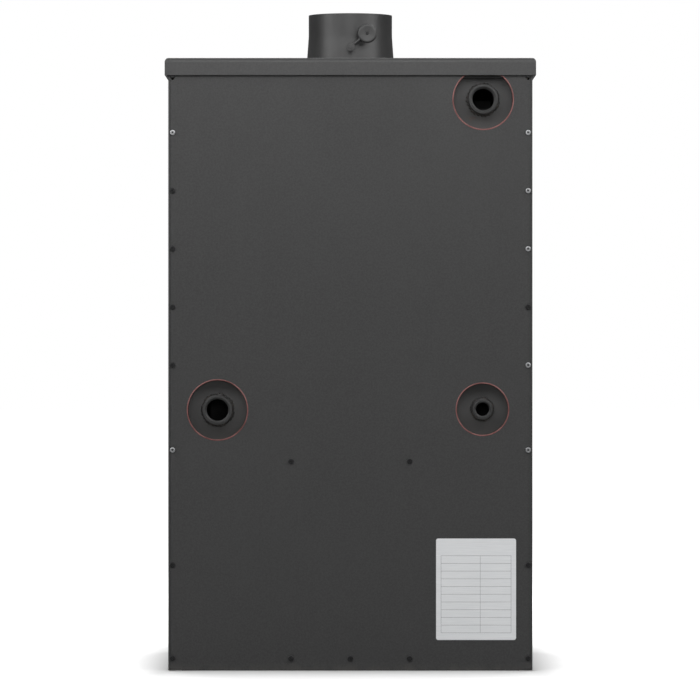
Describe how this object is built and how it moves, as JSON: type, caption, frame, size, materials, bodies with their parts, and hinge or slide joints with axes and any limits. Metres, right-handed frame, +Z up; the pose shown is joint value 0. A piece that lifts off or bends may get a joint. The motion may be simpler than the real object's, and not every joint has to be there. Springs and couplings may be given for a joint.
{
  "type": "boiler stove",
  "caption": "Wood stove with a water-jacket boiler, flue collar with damper, threaded water sockets at the back, glazed fire door, ash drawer and log niche.",
  "frame": {"origin": "on the floor, under the middle of the stove's overall width and depth", "axes": "+Z up, the fire door faces -Y, the water sockets face +Y, X across the stove"},
  "size_m": [0.52, 0.54, 0.9265],
  "materials": {
    "cabinet_steel": "charcoal stove paint, matt",
    "lid_enamel": "charcoal stove paint, matt",
    "cast_iron": "black stove paint on cast iron",
    "collar_enamel": "satin black stove paint",
    "boiler_steel": "dark primer on boiler plate",
    "red_trim": "red heat-proof edge trim",
    "insulation": "mineral fibre board",
    "zinc": "bright zinc plated",
    "black_steel": "blackened steel",
    "plate_silver": "silver foil plate",
    "fibre_seal": "woven glass fibre",
    "door_glass": "clear ceramic glass",
    "grip_wood": "oiled beech",
    "pan_zinc": "galvanised sheet",
    "handle_steel": "brushed steel",
    "firebrick": "fireclay",
    "gauge_metal": "bright steel bezel",
    "gauge_face": "white printed dial",
    "gauge_needle": "red painted needle"
  },
  "bodies": {
    "stove_body": {"base_plate": "cabinet_steel", "left_side_panel": "cabinet_steel", "right_side_panel": "cabinet_steel", "back_panel": "cabinet_steel", "log_niche_liner": "cabinet_steel", "boiler_shelf": "cabinet_steel", "top_lid": "lid_enamel", "front_frame": "cast_iron", "grate_bed": "cast_iron", "log_guard": "cast_iron", "flue_collar": "collar_enamel", "boiler_outer_shell": "boiler_steel", "boiler_inner_shell": "boiler_steel", "jacket_closing_ring": "boiler_steel", "jacket_stays": "boiler_steel", "flue_stub": "boiler_steel", "flow_socket": "boiler_steel", "return_socket": "boiler_steel", "drain_socket": "boiler_steel", "hearth_plate": "boiler_steel", "cutout_trims": "red_trim", "insulation_boards": "insulation", "zinc_panel_screws": "zinc", "collar_bolts": "zinc", "door_hinge_pins": "zinc", "black_panel_screws": "black_steel", "secondary_air_rails": "black_steel", "ash_drawer_runners": "black_steel", "data_plate": "plate_silver", "collar_gasket": "fibre_seal", "thermometer_glass": "door_glass", "firebricks": "firebrick", "smoke_baffle": "firebrick", "thermometer_case": "gauge_metal", "thermometer_dial": "gauge_face"},
    "fire_door": {"fire_door": "cast_iron", "door_glass": "door_glass", "glass_gasket": "fibre_seal", "door_gasket": "fibre_seal", "glass_clips": "zinc", "glass_clip_screws": "zinc"},
    "door_handle": {"door_handle_spindle": "zinc", "door_handle_lever": "black_steel", "door_handle_grip": "grip_wood", "door_latch": "zinc"},
    "ash_drawer": {"ash_pan": "pan_zinc", "ash_drawer_front": "cast_iron", "ash_drawer_handle": "handle_steel", "rosette_pivots": "zinc"},
    "left_air_rosette": {"left_air_rosette": "cast_iron"},
    "right_air_rosette": {"right_air_rosette": "cast_iron"},
    "secondary_air_slider": {"secondary_air_slider": "black_steel"},
    "riddling_grate": {"riddling_grate": "cast_iron", "riddling_rod": "zinc"},
    "thermometer_needle": {"thermometer_needle": "gauge_needle"},
    "flue_damper": {"damper_flap": "black_steel", "damper_spindle": "black_steel", "damper_rivets": "black_steel", "damper_lever": "black_steel", "damper_knob": "black_steel"}
  },
  "joints": [
    {"name": "fire_door_hinge", "type": "hinge", "parent": "stove_body", "child": "fire_door", "pos_m": [-0.205, -0.2115, 0.598], "axis": [0, 0, -1], "range_deg": [0, 110]},
    {"name": "door_handle_turn", "type": "hinge", "parent": "fire_door", "child": "door_handle", "pos_m": [0.155, -0.2115, 0.598], "axis": [0, -1, 0], "range_deg": [0, 80]},
    {"name": "ash_drawer_slide", "type": "slide", "parent": "stove_body", "child": "ash_drawer", "axis": [0, -1, 0], "range_m": [0, 0.25]},
    {"name": "left_rosette_turn", "type": "hinge", "parent": "ash_drawer", "child": "left_air_rosette", "pos_m": [-0.115, -0.21, 0.34], "axis": [0, 1, 0], "range_deg": [0, 45]},
    {"name": "right_rosette_turn", "type": "hinge", "parent": "ash_drawer", "child": "right_air_rosette", "pos_m": [0.115, -0.21, 0.34], "axis": [0, 1, 0], "range_deg": [0, 45]},
    {"name": "secondary_air_slide", "type": "slide", "parent": "stove_body", "child": "secondary_air_slider", "axis": [1, 0, 0], "range_m": [0, 0.03]},
    {"name": "riddling_slide", "type": "slide", "parent": "stove_body", "child": "riddling_grate", "axis": [0, -1, 0], "range_m": [0, 0.025]},
    {"name": "thermometer_needle_turn", "type": "hinge", "parent": "stove_body", "child": "thermometer_needle", "pos_m": [0.19, -0.198, 0.812], "axis": [0, 1, 0], "range_deg": [0, 270]},
    {"name": "flue_damper_turn", "type": "hinge", "parent": "stove_body", "child": "flue_damper", "pos_m": [0, 0.115, 0.878], "axis": [0, 1, 0], "range_deg": [-38, 52]}
  ]
}
